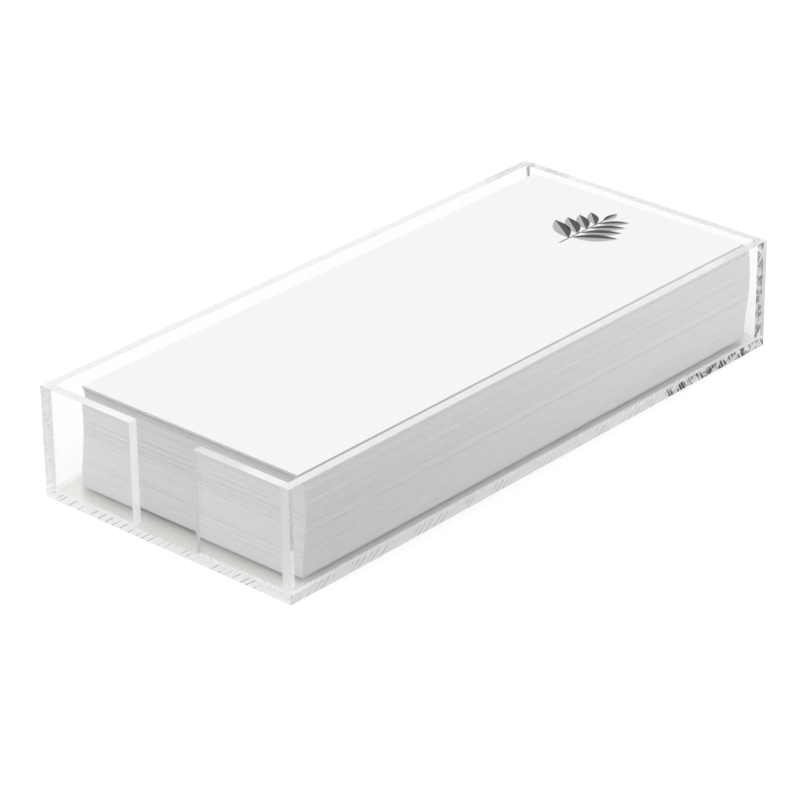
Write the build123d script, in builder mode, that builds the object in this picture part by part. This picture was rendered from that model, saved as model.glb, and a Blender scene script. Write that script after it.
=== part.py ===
"""Clear acrylic memo tray with a thumb gap, holding a loose stack of memo sheets.

Millimetres, +Z up, origin at the middle of the underside. The thumb gap is at the -Y end.
Six acrylic panels are cemented edge to face, and the sheets lie loose on the base plate.
"""

import os
from math import cos, modf, pi
from random import Random

from build123d import *

# Memo sheets: one size, stacked in bundles that part from each other, counted from the bottom up
memo_width = 88.9
memo_length = 213.5
memo_thickness = 0.139
bundle_counts = (32, 32, 11, 35, 22, 8, 12, 14, 18, 13, 25, 11, 11)
top_sheet_count = 1

# Room around the stack, from the sheets to the inner faces of the walls
left_gap = 5.75
right_gap = 1.95
front_gap = 7.1
back_gap = 1.6
rim_above_stack = 0.845

# Acrylic panels
acrylic_thickness = 3.2
thumb_gap_width = 26.6

# How far the sheets stray from a straight pile, as shares of the room around them
side_sway_share = 0.3
sway_turn_share = 0.85
front_lean_share = 0.16
overhang_share = 0.1
overhang_start_share = 0.88
bundle_shift_share = 0.05
sheet_jog_share = 0.05
loose_jog_share = 0.3
sheet_jog_seed = 7
golden_share = 0.618
plastic_share = 0.755

# How far the lowest sheets of each bundle are set back, and the top sheet stands proud, as shares of the back gap
parting_step_shares = (0.45, 0.07, 0.2, 0.12, 0.07, 0.2, 0.14, 0.1, 0.1, 0.08, 0.14, 0.22, 0.3)
parting_sheet_counts = (3, 1, 1, 1, 1, 1, 1, 1, 1, 1, 1, 2, 2)
top_step_share = 0.22

# Sizes that follow
sheet_count = sum(bundle_counts) + top_sheet_count
stack_height = sheet_count * memo_thickness
inner_width = left_gap + memo_width + right_gap
inner_length = front_gap + memo_length + back_gap
tray_width = inner_width + 2 * acrylic_thickness
tray_length = inner_length + 2 * acrylic_thickness
wall_height = stack_height + rim_above_stack
front_panel_width = (inner_width - thumb_gap_width) / 2
wall_x = (inner_width + acrylic_thickness) / 2
wall_y = (inner_length + acrylic_thickness) / 2
front_panel_x = (thumb_gap_width + front_panel_width) / 2
stack_x = (left_gap - right_gap) / 2
stack_y = (front_gap - back_gap) / 2

floor = Plane.XY.offset(acrylic_thickness)
jog_source = Random(sheet_jog_seed)
sheet_jogs = [(jog_source.uniform(-1, 1), jog_source.uniform(-1, 1)) for _ in range(sum(bundle_counts))]
sheet_jogs += top_sheet_count * [(0, 0)]


def scatter(number, step_share):
    """An even spread of values from -1 to 1, one for each number in turn."""
    return 2 * modf(number * step_share)[0] - 1


def sheet_place(number, bundle, set_back_share):
    """The middle of a sheet's underside: the pile sways sideways, leans and overhangs, and lies looser at its top.

    A sheet that is set back lies a step behind its neighbours and to their left. One with a share below 0 is proud.
    """
    height_share = number / sheet_count
    overhang_reach = max(height_share - overhang_start_share, 0) / (1 - overhang_start_share)
    sway = -side_sway_share * right_gap * cos(2 * pi * sway_turn_share * height_share)
    lean = -front_lean_share * front_gap * (1 - height_share) - overhang_share * front_gap * overhang_reach
    shift_x = bundle_shift_share * back_gap * scatter(bundle, golden_share)
    shift_y = bundle_shift_share * back_gap * scatter(bundle, plastic_share)
    jog_x = sheet_jog_share * back_gap * sheet_jogs[number][0]
    jog_y = (sheet_jog_share + loose_jog_share * overhang_reach) * back_gap * sheet_jogs[number][1]
    step = set_back_share * back_gap
    x = stack_x + sway + shift_x + jog_x - step
    y = stack_y + lean + shift_y + jog_y + step
    z = acrylic_thickness + number * memo_thickness
    return Location((x, y, z))


os.makedirs("parts", exist_ok=True)

# Base plate: the whole footprint, with every wall standing on its top face
with BuildPart() as base_plate:
    with BuildSketch(Plane.XY):
        Rectangle(tray_width, tray_length)
    extrude(amount=acrylic_thickness)
base_plate.part.label = "base_plate"
export_step(base_plate.part, "parts/base_plate.step")

# Side walls: full length, so their cut ends show at the front and at the back
for side, side_name in ((-1, "left_side_wall"), (1, "right_side_wall")):
    with BuildPart() as side_wall:
        with BuildSketch(floor):
            with Locations((side * wall_x, 0)):
                Rectangle(acrylic_thickness, tray_length)
        extrude(amount=wall_height)
    side_wall.part.label = side_name
    export_step(side_wall.part, f"parts/{side_name}.step")

# Back wall: set between the side walls, flush with their ends
with BuildPart() as back_wall:
    with BuildSketch(floor):
        with Locations((0, wall_y)):
            Rectangle(inner_width, acrylic_thickness)
    extrude(amount=wall_height)
back_wall.part.label = "back_wall"
export_step(back_wall.part, "parts/back_wall.step")

# Front panels: a short panel at each side wall, with the thumb gap open between them down to the base plate
for side, panel_name in ((-1, "front_panel_left"), (1, "front_panel_right")):
    with BuildPart() as front_panel:
        with BuildSketch(floor):
            with Locations((side * front_panel_x, -wall_y)):
                Rectangle(front_panel_width, acrylic_thickness)
        extrude(amount=wall_height)
    front_panel.part.label = panel_name
    export_step(front_panel.part, f"parts/{panel_name}.step")

# One memo sheet, lying flat with the middle of its underside at the origin
with BuildPart() as memo_sheet:
    with BuildSketch(Plane.XY):
        Rectangle(memo_width, memo_length)
    extrude(amount=memo_thickness)

# Bundles: each sheet is a solid of its own, lying on the sheet below it, and the lowest of a bundle are set back,
# which leaves a groove where the stack parts
next_sheet = 0
for bundle, count in enumerate(bundle_counts, start=1):
    first_flush = next_sheet + parting_sheet_counts[bundle - 1]
    sheets = []
    for number in range(next_sheet, next_sheet + count):
        step_share = parting_step_shares[bundle - 1] if number < first_flush else 0
        sheets.append(memo_sheet.part.moved(sheet_place(number, bundle, step_share)))
    sheet_bundle = Compound(label=f"sheet_bundle_{bundle:02d}", children=sheets)
    export_step(sheet_bundle, f"parts/{sheet_bundle.label}.step")
    next_sheet += count

# Top sheet: the last of the stack, a step proud of the rest, which lifts off alone
top_sheet = memo_sheet.part.moved(sheet_place(next_sheet, len(bundle_counts), -top_step_share))
top_sheet.label = "top_sheet"
export_step(top_sheet, "parts/top_sheet.step")
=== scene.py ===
import math

import bmesh
import bpy
from mathutils import Matrix, Vector


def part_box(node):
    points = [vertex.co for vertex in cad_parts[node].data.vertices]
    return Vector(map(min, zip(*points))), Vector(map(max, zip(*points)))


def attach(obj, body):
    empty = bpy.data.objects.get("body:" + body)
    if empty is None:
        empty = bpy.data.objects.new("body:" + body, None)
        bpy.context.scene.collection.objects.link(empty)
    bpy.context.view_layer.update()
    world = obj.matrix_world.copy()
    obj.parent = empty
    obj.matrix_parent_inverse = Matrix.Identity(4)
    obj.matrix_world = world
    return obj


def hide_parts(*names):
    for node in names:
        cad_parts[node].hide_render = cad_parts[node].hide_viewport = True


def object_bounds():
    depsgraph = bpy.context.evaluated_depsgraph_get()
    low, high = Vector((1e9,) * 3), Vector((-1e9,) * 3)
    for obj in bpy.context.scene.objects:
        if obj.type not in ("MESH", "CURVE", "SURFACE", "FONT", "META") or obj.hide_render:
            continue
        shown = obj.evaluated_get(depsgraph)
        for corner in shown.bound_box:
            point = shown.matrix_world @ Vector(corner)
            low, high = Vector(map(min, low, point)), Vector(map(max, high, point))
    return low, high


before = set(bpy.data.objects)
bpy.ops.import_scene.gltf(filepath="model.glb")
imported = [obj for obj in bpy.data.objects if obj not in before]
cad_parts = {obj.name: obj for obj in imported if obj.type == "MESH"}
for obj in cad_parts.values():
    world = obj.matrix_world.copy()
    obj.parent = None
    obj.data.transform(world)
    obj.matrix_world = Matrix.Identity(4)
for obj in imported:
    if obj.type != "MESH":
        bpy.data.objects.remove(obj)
cad_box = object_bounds()
scene = bpy.context.scene

# Base plate: the clear acrylic floor of the tray, a sheet of cast acrylic sawn to the full footprint.
# Every wall stands on its top face. The joints are solvent cement, drawn in between the faces,
# and the sawn edges are hazy, with the marks of the saw still in them.
panel_nodes = (
    "base_plate",
    "left_side_wall",
    "right_side_wall",
    "back_wall",
    "front_panel_left",
    "front_panel_right",
)
edge_ease = 0.00014
cement_film = 0.000005
acrylic_ior = 1.49


def new_group(name, inputs, outputs):
    group = bpy.data.node_groups.new(name, "ShaderNodeTree")
    for socket_name, value in inputs:
        socket = group.interface.new_socket(socket_name, in_out="INPUT", socket_type="NodeSocketFloat")
        socket.default_value = value
    for socket_name in outputs:
        group.interface.new_socket(socket_name, in_out="OUTPUT", socket_type="NodeSocketFloat")
    return group, group.nodes.new("NodeGroupInput"), group.nodes.new("NodeGroupOutput")


def feed(tree, value, socket):
    """Links a socket to another node's output, or sets it to a plain value."""
    if isinstance(value, bpy.types.NodeSocket):
        tree.links.new(value, socket)
    else:
        socket.default_value = value


def object_place(tree):
    return tree.nodes.new("ShaderNodeTexCoord").outputs["Object"]


def axes(tree, vector):
    node = tree.nodes.new("ShaderNodeSeparateXYZ")
    tree.links.new(vector, node.inputs["Vector"])
    return node.outputs


def math_node(tree, operation, first, second):
    node = tree.nodes.new("ShaderNodeMath")
    node.operation = operation
    for socket, value in zip(node.inputs, (first, second)):
        feed(tree, value, socket)
    return node.outputs["Value"]


def ramp(tree, value, start, end, low, high):
    node = tree.nodes.new("ShaderNodeMapRange")
    node.interpolation_type = "SMOOTHSTEP"
    tree.links.new(value, node.inputs["Value"])
    for name, setting in (("From Min", start), ("From Max", end), ("To Min", low), ("To Max", high)):
        node.inputs[name].default_value = setting
    return node.outputs["Result"]


def noise(tree, place, scale, detail):
    node = tree.nodes.new("ShaderNodeTexNoise")
    tree.links.new(place, node.inputs["Vector"])
    node.inputs["Scale"].default_value = scale
    node.inputs["Detail"].default_value = detail
    return node.outputs["Fac"]


def tinted(tree, share, first, second):
    node = tree.nodes.new("ShaderNodeMix")
    node.data_type = "RGBA"
    for name, value in (("Factor", share), ("A", first), ("B", second)):
        feed(tree, value, node.inputs[name])
    return node.outputs["Result"]


def bumped(tree, shader, height, strength, distance):
    node = tree.nodes.new("ShaderNodeBump")
    node.inputs["Strength"].default_value = strength
    node.inputs["Distance"].default_value = distance
    tree.links.new(height, node.inputs["Height"])
    tree.links.new(node.outputs["Normal"], shader.inputs["Normal"])


stroke_core = 0.5
stroke_rim = 0.9
breaks_per_stroke = 0.45
break_start = 0.4
break_end = 0.6
mark_detail = 2.0


def make_saw_marks():
    """Slanted strokes across an edge at uneven distances, each broken along its length."""
    group, entry, result = new_group(
        "saw_marks",
        (("Strokes per metre", 400.0), ("Stroke share", 0.1), ("Slant", 0.0)),
        ("Strokes", "Height"),
    )
    place = object_place(group)
    axis = axes(group, place)
    along = math_node(group, "ADD", axis["X"], axis["Y"])
    rise = math_node(group, "MULTIPLY", axis["Z"], entry.outputs["Slant"])
    across = math_node(group, "ADD", along, rise)
    lines = group.nodes.new("ShaderNodeTexVoronoi")
    lines.voronoi_dimensions = "1D"
    lines.feature = "DISTANCE_TO_EDGE"
    group.links.new(across, lines.inputs["W"])
    group.links.new(entry.outputs["Strokes per metre"], lines.inputs["Scale"])
    near = math_node(group, "DIVIDE", lines.outputs["Distance"], entry.outputs["Stroke share"])
    stroke = ramp(group, near, stroke_core, stroke_rim, 1.0, 0.0)
    breaks = group.nodes.new("ShaderNodeTexNoise")
    breaks.inputs["Detail"].default_value = mark_detail
    group.links.new(place, breaks.inputs["Vector"])
    strokes_per_metre = entry.outputs["Strokes per metre"]
    breaks_per_metre = math_node(group, "MULTIPLY", strokes_per_metre, breaks_per_stroke)
    group.links.new(breaks_per_metre, breaks.inputs["Scale"])
    broken = ramp(group, breaks.outputs["Fac"], break_start, break_end, 0.0, 1.0)
    group.links.new(math_node(group, "MULTIPLY", stroke, broken), result.inputs["Strokes"])
    wave = group.nodes.new("ShaderNodeTexNoise")
    wave.noise_dimensions = "1D"
    wave.inputs["Detail"].default_value = mark_detail
    group.links.new(across, wave.inputs["W"])
    group.links.new(strokes_per_metre, wave.inputs["Scale"])
    height = math_node(group, "SUBTRACT", wave.outputs["Fac"], stroke)
    group.links.new(height, result.inputs["Height"])
    return group


saw_marks = make_saw_marks()


def acrylic(name, clear_share):
    """A clear acrylic material. What isn't clear of it is a white haze on the surface."""
    material = bpy.data.materials.new(name)
    material.use_nodes = True
    shader = material.node_tree.nodes["Principled BSDF"]
    shader.inputs["Transmission Weight"].default_value = clear_share
    shader.inputs["IOR"].default_value = acrylic_ior
    return material, material.node_tree, shader


def placed_saw_marks(tree, strokes_per_metre, stroke_share, slant):
    marks = tree.nodes.new("ShaderNodeGroup")
    marks.node_tree = saw_marks
    marks.inputs["Strokes per metre"].default_value = strokes_per_metre
    marks.inputs["Stroke share"].default_value = stroke_share
    marks.inputs["Slant"].default_value = slant
    return marks.outputs


def make_cast_face(name, tint):
    """The sheet's own cast face: faintly wavy, with a breath of roughness."""
    material, tree, shader = acrylic(name, clear_share=1.0)
    shader.inputs["Base Color"].default_value = tint
    waves = noise(tree, object_place(tree), waves_per_metre, wave_detail)
    rough = ramp(tree, waves, noise_low, noise_high, 0.0, wave_rough)
    tree.links.new(rough, shader.inputs["Roughness"])
    bumped(tree, shader, waves, wave_bump, wave_depth)
    return material


def make_satin_edge(name, clear_share, rough):
    """A sawn edge scraped to a satin, with the streaks of the scraper in it."""
    material, tree, shader = acrylic(name, clear_share)
    streaks = noise(tree, object_place(tree), streaks_per_metre, streak_detail)
    tree.links.new(tinted(tree, streaks, satin_shade, satin_white), shader.inputs["Base Color"])
    streaked = ramp(tree, streaks, noise_low, noise_high, rough, rough + streak_rough)
    tree.links.new(streaked, shader.inputs["Roughness"])
    return material


def make_sawn_edge(name, clear_share, rough, strokes_per_metre, stroke_share, stroke_tone):
    """A sawn edge, hazy or nearly clear, with the strokes of the saw still in it."""
    material, tree, shader = acrylic(name, clear_share)
    marks = placed_saw_marks(tree, strokes_per_metre, stroke_share, saw_slant)
    tone = tinted(tree, marks["Strokes"], sawn_plain, stroke_tone)
    tree.links.new(tone, shader.inputs["Base Color"])
    stroked = ramp(tree, marks["Strokes"], 0.0, 1.0, rough, rough + stroke_rough)
    tree.links.new(stroked, shader.inputs["Roughness"])
    bumped(tree, shader, marks["Height"], saw_bump, saw_depth)
    return material


def make_base_edge():
    """The base plate's sawn edge: sparse strokes all round, and dense dark ones on the right, towards the back.

    There the saw chattered.
    """
    material = make_sawn_edge(
        "sawn_base_edge",
        clear_share=0.1,
        rough=0.1,
        strokes_per_metre=320.0,
        stroke_share=0.13,
        stroke_tone=grey_stroke,
    )
    tree = material.node_tree
    shader = tree.nodes["Principled BSDF"]
    axis = axes(tree, object_place(tree))
    far_end = ramp(tree, axis["Y"], chatter_start, chatter_start + chatter_fade, 0.0, 1.0)
    right_edge = math_node(tree, "GREATER_THAN", axis["X"], cad_box[1][X] - edge_ease)
    chattered = math_node(tree, "MULTIPLY", far_end, right_edge)
    marks = placed_saw_marks(tree, chatter_per_metre, chatter_share, chatter_slant)
    cover = math_node(tree, "MULTIPLY", chattered, marks["Strokes"])
    sawn_tone = shader.inputs["Base Color"].links[0].from_socket
    tree.links.new(tinted(tree, cover, sawn_tone, chatter_tone), shader.inputs["Base Color"])
    return material


def make_cemented_joint(name, strokes_per_metre, stroke_share, film_tone, film_cover, stroke_cover):
    """A joint face: one with its neighbour through the cement, but for a thin film and the strokes left dry."""
    material, tree, shader = acrylic(name, clear_share=0.0)
    shader.inputs["Base Color"].default_value = film_tone
    shader.inputs["Roughness"].default_value = film_rough
    marks = placed_saw_marks(tree, strokes_per_metre, stroke_share, saw_slant)
    cover = ramp(tree, marks["Strokes"], 0.0, 1.0, film_cover, stroke_cover)
    tree.links.new(cover, shader.inputs["Alpha"])
    return material


X, Y, Z = range(3)
noise_low = 0.3
noise_high = 0.7
waves_per_metre = 40.0
wave_detail = 1.0
wave_rough = 0.012
wave_bump = 0.02
wave_depth = 0.00002
streaks_per_metre = 90.0
streak_detail = 3.0
streak_rough = 0.05
stroke_rough = 0.15
saw_bump = 0.05
saw_depth = 0.0001
film_rough = 0.5
wall_tint = (1.0, 0.999, 0.996, 1.0)
# Painted shade: a warm grey tint on the base plate's faces darkens the tray's floor seen through it.
base_painted_shade_tint = (0.87, 0.85, 0.82, 1.0)
satin_white = (1.0, 1.0, 0.99, 1.0)
satin_shade = (0.97, 0.97, 0.96, 1.0)
sawn_plain = (1.0, 1.0, 0.99, 1.0)
# Grey strokes darken the sawn base edge along the saw marks.
grey_stroke = (0.6, 0.6, 0.59, 1.0)
faint_stroke = (0.76, 0.76, 0.75, 1.0)
dark_stroke = (0.12, 0.12, 0.12, 1.0)
chatter_tone = (0.06, 0.06, 0.06, 1.0)
saw_slant = -1.34
chatter_per_metre = 700.0
chatter_share = 0.6
chatter_slant = 0.6
chatter_start = 0.058
chatter_fade = 0.008
white_film = (0.98, 0.98, 0.97, 1.0)
acrylic_finishes = (
    make_cast_face("clear_cast_acrylic", wall_tint),
    # The base plate's faces, tinted warm grey as painted shade under the tray.
    make_cast_face("shade_tinted_cast_acrylic", base_painted_shade_tint),
    make_satin_edge("satin_acrylic_edge", clear_share=0.55, rough=0.28),
    make_satin_edge("polished_acrylic_end", clear_share=1.0, rough=0.28),
    make_satin_edge("frosted_acrylic_end", clear_share=0.1, rough=0.3),
    make_base_edge(),
    make_sawn_edge(
        "sawn_wall_end",
        clear_share=0.85,
        rough=0.3,
        strokes_per_metre=380.0,
        stroke_share=0.3,
        stroke_tone=faint_stroke,
    ),
    make_cemented_joint(
        "cemented_base_joint",
        strokes_per_metre=500.0,
        stroke_share=0.25,
        film_tone=white_film,
        film_cover=0.7,
        stroke_cover=0.95,
    ),
    make_cemented_joint(
        "cemented_front_joint",
        strokes_per_metre=500.0,
        stroke_share=0.3,
        film_tone=white_film,
        film_cover=0.1,
        stroke_cover=0.25,
    ),
    make_cemented_joint(
        "cemented_back_joint",
        strokes_per_metre=1000.0,
        stroke_share=0.45,
        film_tone=dark_stroke,
        film_cover=0.0,
        stroke_cover=1.0,
    ),
)
CLEAR, SHADE_TINTED, SATIN, POLISHED, FROSTED, SAWN_BASE, SAWN_END = range(7)
BASE_JOINT, FRONT_JOINT, BACK_JOINT = range(7, 10)
joint_reach = 4 * cement_film
joint_probe = 2 * edge_ease
edge_probe_shares = (0.25, 0.5, 0.75)
ease_segments = 2
level_facing = 0.9
flat_facing = 0.99


def within(point, boxes, margin):
    """Whether a point lies in one of the boxes, or no further outside it than the margin."""
    for low, high in boxes:
        if all(low[axis] - margin < point[axis] < high[axis] + margin for axis in (X, Y, Z)):
            return True
    return False


def is_free(edge, neighbours):
    """Whether an edge stands clear of the other panels. Only such edges are eased."""
    start, end = (vert.co for vert in edge.verts)
    probes = [start.lerp(end, share) for share in edge_probe_shares]
    return not any(within(probe, neighbours, joint_reach) for probe in probes)


def acrylic_panel(node, edge_finishes):
    """A panel with its free edges eased and its joint faces cut out.

    The faces that look along a given axis get the finish given for it, and the others stay clear.
    """
    film = Vector((cement_film, cement_film, cement_film))
    low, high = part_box(node)
    low, high = low + film, high - film
    bm = bmesh.new()
    bmesh.ops.create_cube(bm, size=1.0)
    bmesh.ops.scale(bm, vec=high - low, verts=bm.verts)
    bmesh.ops.translate(bm, vec=(low + high) / 2, verts=bm.verts)
    neighbours = [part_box(other) for other in panel_nodes if other != node]
    free_edges = [edge for edge in bm.edges if is_free(edge, neighbours)]
    bmesh.ops.bevel(
        bm,
        geom=free_edges,
        offset=edge_ease,
        affect="EDGES",
        segments=ease_segments,
        profile=0.5,
        material=-1,
    )
    for corners in neighbours:
        for corner in corners:
            for axis in (X, Y, Z):
                if low[axis] + edge_ease < corner[axis] < high[axis] - edge_ease:
                    across = Vector((0, 0, 0))
                    across[axis] = 1
                    everything = bm.verts[:] + bm.edges[:] + bm.faces[:]
                    bmesh.ops.bisect_plane(bm, geom=everything, plane_co=corner, plane_no=across)
    for face in bm.faces:
        middle = face.calc_center_median()
        probe = middle + joint_probe * face.normal
        if within(probe, neighbours, 0):
            upright_joint = BACK_JOINT if middle.y > 0 else FRONT_JOINT
            face.material_index = BASE_JOINT if abs(face.normal.z) > level_facing else upright_joint
        else:
            facing = max((X, Y, Z), key=lambda axis: abs(face.normal[axis]))
            flat = abs(face.normal[facing]) > flat_facing
            face.material_index = edge_finishes.get(facing, CLEAR) if flat else SATIN
    mesh = bpy.data.meshes.new(node + "_acrylic")
    bm.to_mesh(mesh)
    bm.free()
    for finish in acrylic_finishes:
        mesh.materials.append(finish)
    panel = bpy.data.objects.new(node + "_acrylic", mesh)
    scene.collection.objects.link(panel)
    panel.visible_diffuse = False
    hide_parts(node)
    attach(panel, "tray")


# Its top and bottom faces carry the warm grey tint of painted shade.
acrylic_panel("base_plate", {X: SAWN_BASE, Y: SAWN_BASE, Z: SHADE_TINTED})

# Side walls: two full-length strips of the same acrylic, standing on the base plate.
# Their ends show at the front and at the back, sawn on the left wall and frosted on the right one,
# and their top edges are scraped to a satin.
acrylic_panel("left_side_wall", {Y: SAWN_END, Z: SATIN})
acrylic_panel("right_side_wall", {Y: FROSTED, Z: SATIN})

# Back wall: a strip of the same acrylic set between the side walls, flush with their ends.
# It is cemented to both of them and to the base plate.
acrylic_panel("back_wall", {Z: SATIN})

# Front panels: two short panels, one at each side wall, with the thumb gap open between them.
# They are cemented to the base plate and to the side walls. Their gap ends are scraped smooth,
# translucent on the left panel and frosted on the right one.
acrylic_panel("front_panel_left", {X: POLISHED, Z: SATIN})
acrylic_panel("front_panel_right", {X: FROSTED, Z: SATIN})

# Memo sheets: smooth uncoated white paper, cut in a guillotine and lying loose on each other.
# The cut edges show as fine lines, because no two sheets lie quite flush; painted shade adds fine darker lines
# on the cut edges, full on the ends and weaker on the long sides.
paper_white = (0.9, 0.9, 0.915, 1.0)
paper_shade = (0.88, 0.88, 0.895, 1.0)
sheet_gap_painted_shade = (0.7, 0.7, 0.715, 1.0)
lines_along = 2.0
lines_per_metre = 4200.0
line_detail = 3.0
line_start = 0.3
line_end = 0.62
line_cover = 0.8
line_rest = 0.2
long_edge_share = 0.35
paper_rough = 0.85
paper_specular = 0.2
fibres_per_metre = 700.0
fibre_detail = 4.0
fibre_bump = 0.1
fibre_depth = 0.00002


def make_paper():
    material = bpy.data.materials.new("white_memo_paper")
    material.use_nodes = True
    tree = material.node_tree
    shader = tree.nodes["Principled BSDF"]
    shader.inputs["Roughness"].default_value = paper_rough
    shader.inputs["Specular IOR Level"].default_value = paper_specular
    place = tree.nodes.new("ShaderNodeTexCoord").outputs
    fibres = noise(tree, place["Object"], fibres_per_metre, fibre_detail)
    stretch = tree.nodes.new("ShaderNodeMapping")
    stretch.inputs["Scale"].default_value = (lines_along, lines_along, lines_per_metre)
    tree.links.new(place["Object"], stretch.inputs["Vector"])
    layers = noise(tree, stretch.outputs["Vector"], 1.0, line_detail)
    lines = ramp(tree, layers, line_start, line_end, line_cover, line_rest)
    facing = axes(tree, place["Normal"])
    facing_side = math_node(tree, "ABSOLUTE", facing["X"], 0.0)
    facing_end = math_node(tree, "ABSOLUTE", facing["Y"], 0.0)
    long_edge = math_node(tree, "MULTIPLY", facing_side, long_edge_share)
    upright = math_node(tree, "ADD", facing_end, long_edge)
    flat_tone = tinted(tree, fibres, paper_shade, paper_white)
    # Painted shade: fine darker lines on the cut edges, full on the ends and weaker on the long sides.
    tone = tinted(tree, math_node(tree, "MULTIPLY", lines, upright), flat_tone, sheet_gap_painted_shade)
    tree.links.new(tone, shader.inputs["Base Color"])
    bumped(tree, shader, fibres, fibre_bump, fibre_depth)
    return material


memo_paper = make_paper()
for name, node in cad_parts.items():
    if name.startswith("sheet_bundle"):
        node.data.materials.clear()
        node.data.materials.append(memo_paper)

# Top sheet: one more sheet of the same paper, printed near its back end with a small sprig of leaves.
# The ink lies a hair above the paper, and each leaf is solid on one side of its rib and hatched on the other.
top_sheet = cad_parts["top_sheet"]
top_sheet.data.materials.clear()
top_sheet.data.materials.append(memo_paper)

ink_height = 0.00001
ink_sink = 0.000002
sprig_x = 0.0
sprig_y = 0.085
sprig_length = 0.03
leaf_outline_points = 32
leaf_fullness = 1.2
leaf_point_limit = 1e-6
leaf_rim = 0.00022
hatch_pitch = 0.0008
hatch_slant = 0.7


def leaf(length, width):
    """A leaf along +X from the origin: one half solid, the other an outline filled with slanted hatching."""
    bm = bmesh.new()
    bmesh.ops.create_circle(bm, cap_ends=True, segments=leaf_outline_points, radius=1.0)
    for vert in bm.verts:
        if abs(vert.co.y) > leaf_point_limit:
            vert.co.y = math.copysign((1 - vert.co.x * vert.co.x) ** leaf_fullness, vert.co.y)
        else:
            vert.co.y = 0.0
    bmesh.ops.translate(bm, vec=(1, 0, 0), verts=bm.verts)
    bmesh.ops.scale(bm, vec=(length / 2, width / 2, 1), verts=bm.verts)
    bmesh.ops.inset_region(bm, faces=bm.faces[:], thickness=leaf_rim, use_even_offset=True)
    inner = max(bm.faces, key=lambda face: face.calc_area())
    inner.material_index = 1
    cuts = [(Vector((0, 0, 0)), Vector((0, 1, 0)))]
    hatch_across = Vector((1, hatch_slant, 0)).normalized()
    for step in range(int(2 * length / hatch_pitch)):
        cuts.append((Vector((0.5 * step * hatch_pitch, 0, 0)), hatch_across))
    for point, across in cuts:
        everything = bm.verts[:] + bm.edges[:] + bm.faces[:]
        bmesh.ops.bisect_plane(bm, geom=everything, plane_co=point, plane_no=across)
    blank = []
    for face in bm.faces:
        middle = face.calc_center_median()
        step = math.floor((middle.x + hatch_slant * middle.y) / (0.5 * hatch_pitch))
        if face.material_index == 1 and middle.y < 0 and step % 2:
            blank.append(face)
        face.material_index = 0
    bmesh.ops.delete(bm, geom=blank, context="FACES")
    return bm


def add_part(target, part, matrix):
    """Copies one bmesh into another, placed by a matrix."""
    bmesh.ops.transform(part, matrix=matrix, verts=part.verts)
    holder = bpy.data.meshes.new("ink_part")
    part.to_mesh(holder)
    part.free()
    target.from_mesh(holder)
    bpy.data.meshes.remove(holder)


leaf_pairs = 4
first_pair_share = 0.16
pair_spread_share = 0.62
pair_stagger = 0.0012
first_leaf_length = 0.0155
leaf_shrink = 0.42
leaf_width_share = 0.36
first_leaf_turn = 34
leaf_turn_gain = 12
tip_leaf_length = 0.0078
tip_leaf_width = 0.0030
tip_leaf_share = 0.26
stem_width = 0.00045
stem_share = 0.78
stem_drop_share = 0.11
ink = bmesh.new()
for pair in range(leaf_pairs):
    share = pair / leaf_pairs
    stem_y = -0.5 * sprig_length + sprig_length * (first_pair_share + pair_spread_share * share)
    for side in (-1, 1):
        length = first_leaf_length * (1 - leaf_shrink * share)
        turn = Matrix.Rotation(math.radians(first_leaf_turn + leaf_turn_gain * share), 4, "Z")
        mirror = Matrix.Diagonal((side, 1, 1, 1))
        shift = Matrix.Translation((0, stem_y + pair_stagger * (side > 0), 0))
        add_part(ink, leaf(length, leaf_width_share * length), shift @ mirror @ turn)
upright_turn = Matrix.Rotation(math.radians(90), 4, "Z")
tip = Matrix.Translation((0, tip_leaf_share * sprig_length, 0)) @ upright_turn
add_part(ink, leaf(tip_leaf_length, tip_leaf_width), tip)
stem = bmesh.new()
bmesh.ops.create_grid(stem, x_segments=1, y_segments=1, size=0.5)
bmesh.ops.scale(stem, vec=(stem_width, stem_share * sprig_length, 1), verts=stem.verts)
add_part(ink, stem, Matrix.Translation((0, -stem_drop_share * sprig_length, 0)))
bmesh.ops.recalc_face_normals(ink, faces=ink.faces[:])
top_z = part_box("top_sheet")[1].z
grown = bmesh.ops.extrude_face_region(ink, geom=ink.faces[:], use_keep_orig=True)
raised = [item for item in grown["geom"] if isinstance(item, bmesh.types.BMVert)]
bmesh.ops.translate(ink, vec=(0, 0, ink_height + ink_sink), verts=raised)
bmesh.ops.translate(ink, vec=(sprig_x, sprig_y, top_z - ink_sink), verts=ink.verts)
bmesh.ops.recalc_face_normals(ink, faces=ink.faces[:])
ink_mesh = bpy.data.meshes.new("printed_sprig")
ink.to_mesh(ink_mesh)
ink.free()
printed_sprig = bpy.data.objects.new("printed_sprig", ink_mesh)
scene.collection.objects.link(printed_sprig)
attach(printed_sprig, "top_sheet")


ink_full = (0.02, 0.02, 0.022, 1)
ink_thin = (0.07, 0.07, 0.075, 1)
ink_grains_per_metre = 1500.0
ink_detail = 3.0
ink_rough_low = 0.5
ink_rough_high = 0.7


def make_ink():
    material = bpy.data.materials.new("black_printing_ink")
    material.use_nodes = True
    tree = material.node_tree
    shader = tree.nodes["Principled BSDF"]
    cover = noise(tree, object_place(tree), ink_grains_per_metre, ink_detail)
    tree.links.new(tinted(tree, cover, ink_full, ink_thin), shader.inputs["Base Color"])
    rough = ramp(tree, cover, noise_low, noise_high, ink_rough_low, ink_rough_high)
    tree.links.new(rough, shader.inputs["Roughness"])
    return material


ink_mesh.materials.append(make_ink())
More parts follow.
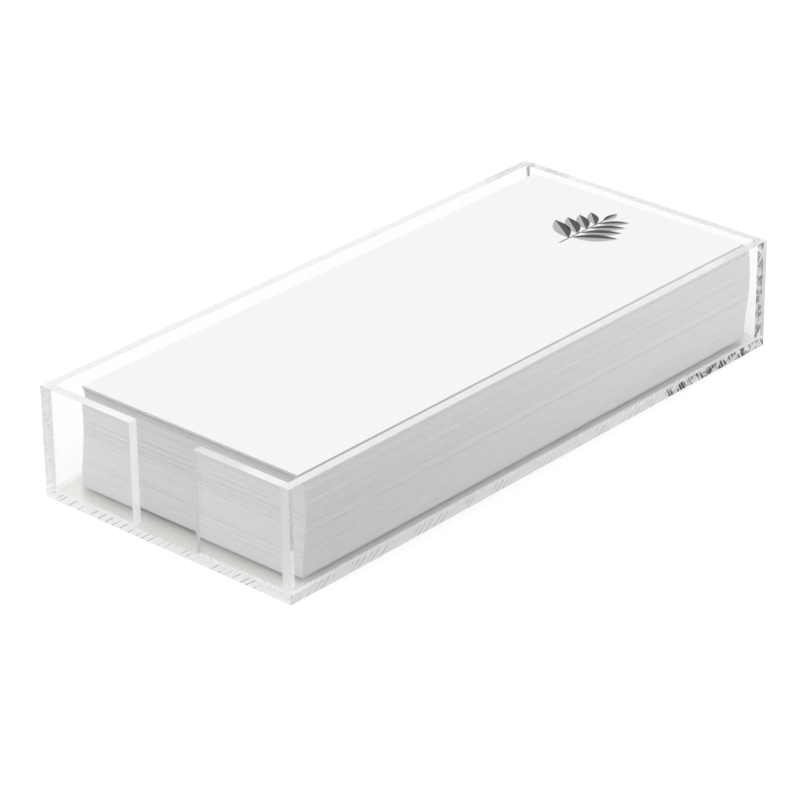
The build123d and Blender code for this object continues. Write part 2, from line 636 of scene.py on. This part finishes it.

# Studio floor: a plain pale sweep just under the tray, which keeps the tray's soft shadow.
# For the camera's own rays a glow brings it up to white, and through the acrylic it is plain white.
# For scattered light its colour carries painted shade and painted light: painted shade under the tray and
# towards the front right, and a painted light rim that keeps it pale close to the tray.
floor_drop = 0.0002
floor_half = 6.0
floor_pale = (0.62, 0.62, 0.62, 1.0)
floor_painted_shade = (0.27, 0.27, 0.27, 1.0)
floor_bright = (0.88, 0.88, 0.88, 1.0)
floor_shade = (0.03, 0.03, 0.03, 1.0)
dim_towards = (0.667, -0.745, 0.0)
dim_start = -0.03
dim_end = 0.16
painted_light_rim = 0.015
floor_white = (1.0, 1.0, 1.0, 1.0)
floor_glow = 0.5
floor_mesh = bpy.data.meshes.new("studio_floor")
floor_shape = bmesh.new()
bmesh.ops.create_grid(floor_shape, x_segments=1, y_segments=1, size=floor_half)
bmesh.ops.translate(floor_shape, vec=(0, 0, -floor_drop), verts=floor_shape.verts)
floor_shape.to_mesh(floor_mesh)
floor_shape.free()
studio_floor = bpy.data.objects.new("studio_floor", floor_mesh)
scene.collection.objects.link(studio_floor)


half_a_bounce = 0.5


def seen_directly(tree):
    """Whether a ray comes straight from the camera, or from it through clear or off shining surfaces alone."""
    ray = tree.nodes.new("ShaderNodeLightPath").outputs
    unscattered = math_node(tree, "LESS_THAN", ray["Diffuse Depth"], half_a_bounce)
    through = math_node(tree, "MULTIPLY", ray["Is Transmission Ray"], unscattered)
    mirrored = math_node(tree, "MULTIPLY", ray["Is Glossy Ray"], unscattered)
    return ray["Is Camera Ray"], through, mirrored


floor_material = bpy.data.materials.new("studio_floor")
floor_material.use_nodes = True
floor_tree = floor_material.node_tree
floor_shader = floor_tree.nodes["Principled BSDF"]
floor_shader.inputs["Roughness"].default_value = 1.0
floor_shader.inputs["Specular IOR Level"].default_value = 0.0
floor_shader.inputs["Emission Color"].default_value = floor_white
direct, through, mirrored = seen_directly(floor_tree)
clear_view = math_node(floor_tree, "MAXIMUM", through, mirrored)
dimming = floor_tree.nodes.new("ShaderNodeVectorMath")
dimming.operation = "DOT_PRODUCT"
dimming.inputs[1].default_value = dim_towards
floor_place = object_place(floor_tree)
floor_tree.links.new(floor_place, dimming.inputs[0])
dimmed = ramp(floor_tree, dimming.outputs["Value"], dim_start, dim_end, 0.0, 1.0)
floor_axes = axes(floor_tree, floor_place)
off_tray = -floor_half
for axis, name in ((X, "X"), (Y, "Y")):
    off_middle = math_node(floor_tree, "ABSOLUTE", floor_axes[name], 0.0)
    off_side = math_node(floor_tree, "SUBTRACT", off_middle, cad_box[1][axis])
    off_tray = math_node(floor_tree, "MAXIMUM", off_side, off_tray)
# Painted shade under the tray and towards the front right, and painted light in a rim close to the tray.
under = math_node(floor_tree, "LESS_THAN", off_tray, 0.0)
away = ramp(floor_tree, off_tray, 0.0, painted_light_rim, 0.0, 1.0)
dim_share = math_node(floor_tree, "MULTIPLY", dimmed, away)
floor_tone = tinted(floor_tree, dim_share, floor_bright, floor_painted_shade)
for view, tone in ((under, floor_shade), (direct, floor_pale), (clear_view, floor_white)):
    floor_tone = tinted(floor_tree, view, floor_tone, tone)
floor_tree.links.new(floor_tone, floor_shader.inputs["Base Color"])
glow = math_node(floor_tree, "MULTIPLY", direct, floor_glow)
floor_tree.links.new(glow, floor_shader.inputs["Emission Strength"])
floor_material.cycles.emission_sampling = "NONE"
floor_mesh.materials.append(floor_material)

# Studio light: a soft white dome, brighter overhead and towards the front.
# To the camera, and through the acrylic, it is plain white.
dome_level = 0.43
dome_lean = (-0.08, -0.33, 0.9)
world = bpy.data.worlds.new("studio_dome")
scene.world = world
world.cycles.sampling_method = "NONE"
world.use_nodes = True
dome_tree = world.node_tree
dome = dome_tree.nodes["Background"]
dome.inputs["Color"].default_value = (1, 1, 1, 1)
towards = dome_tree.nodes.new("ShaderNodeVectorMath")
towards.operation = "DOT_PRODUCT"
towards.inputs[1].default_value = dome_lean
dome_place = dome_tree.nodes.new("ShaderNodeTexCoord").outputs["Generated"]
dome_tree.links.new(dome_place, towards.inputs[0])
raised_level = math_node(dome_tree, "ADD", towards.outputs["Value"], dome_level)
lit = math_node(dome_tree, "MAXIMUM", raised_level, 0.0)
direct, through, mirrored = seen_directly(dome_tree)
clear_view = math_node(dome_tree, "MAXIMUM", through, mirrored)
plain = math_node(dome_tree, "MAXIMUM", direct, clear_view)
strength = dome_tree.nodes.new("ShaderNodeMix")
dome_tree.links.new(plain, strength.inputs["Factor"])
dome_tree.links.new(lit, strength.inputs["A"])
strength.inputs["B"].default_value = 1.0
dome_tree.links.new(strength.outputs["Result"], dome.inputs["Strength"])

# Camera: a long lens at the photograph's angle, from the front right and above.
camera_azimuth = math.radians(41.867)
camera_elevation = math.radians(26.688)
camera_roll = math.radians(-0.548)
camera_aim = Vector((-0.00609, -0.00199, 0.00512))
camera_distance = 1.1768
picture_side_px = 800
focal_length_px = 3689
camera_near = 0.05
camera_data = bpy.data.cameras.new("camera")
camera = bpy.data.objects.new("camera", camera_data)
scene.collection.objects.link(camera)
camera_data.lens = camera_data.sensor_width * focal_length_px / picture_side_px
camera_data.clip_start = camera_near
camera.matrix_world = (
    Matrix.Translation(camera_aim)
    @ Matrix.Rotation(camera_azimuth, 4, "Z")
    @ Matrix.Rotation(math.pi / 2 - camera_elevation, 4, "X")
    @ Matrix.Rotation(camera_roll, 4, "Z")
    @ Matrix.Translation((0, 0, camera_distance))
)
scene.camera = camera
scene.view_settings.view_transform = "Standard"

# Light runs along inside the acrylic by many inner reflections, so it gets many bounces.
inner_bounces = 64
scene.cycles.max_bounces = inner_bounces
scene.cycles.transmission_bounces = inner_bounces
scene.cycles.glossy_bounces = inner_bounces
scene.cycles.transparent_max_bounces = inner_bounces
